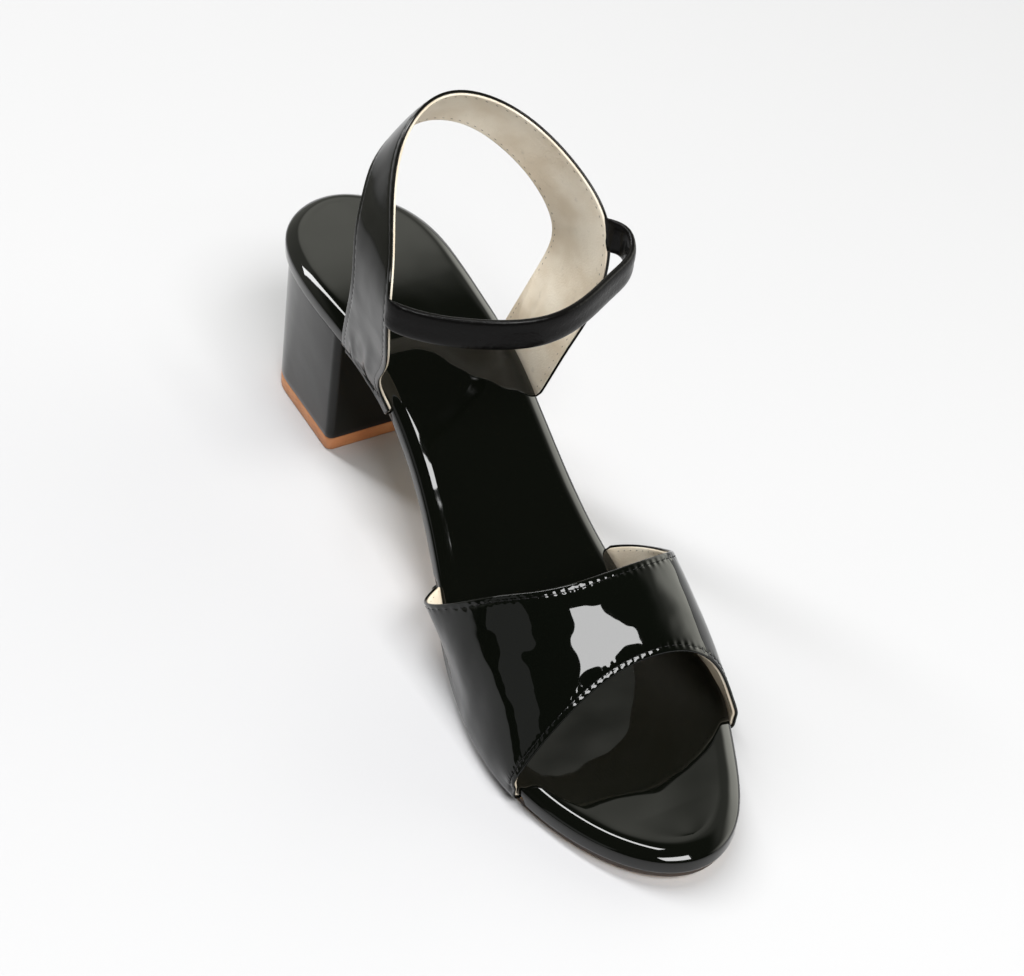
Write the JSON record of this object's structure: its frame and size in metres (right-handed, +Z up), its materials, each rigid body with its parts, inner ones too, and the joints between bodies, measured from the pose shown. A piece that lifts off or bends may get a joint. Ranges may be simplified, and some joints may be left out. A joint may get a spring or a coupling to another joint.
{
  "type": "block heel sandal",
  "caption": "Left open sandal with a padded footbed, block heel, wide front strap, and a back strap joined to a narrow instep strap round the ankle.",
  "frame": {"origin": "centre of the heel top piece's floor face, on the floor", "axes": "+Z up from the floor, -Y along the footbed toward the toe, +X toward the outer side of the left shoe"},
  "size_m": [0.0807, 0.2436, 0.1434],
  "materials": {
    "footbed_patent": "black patent cover, glossy",
    "tan_sole": "tan sole sheet, satin, lightly embossed",
    "heel_patent": "black covered block, glossy",
    "tan_rubber": "tan top piece, matt",
    "black_patent": "black patent outside, beige lining inside, very glossy",
    "strap_patent": "black patent outside, beige lining inside"
  },
  "bodies": {
    "root": {"footbed": "footbed_patent", "outsole": "tan_sole", "heel_block": "heel_patent", "heel_top_piece": "tan_rubber", "vamp_strap": "black_patent", "ankle_straps": "strap_patent"}
  },
  "joints": []
}
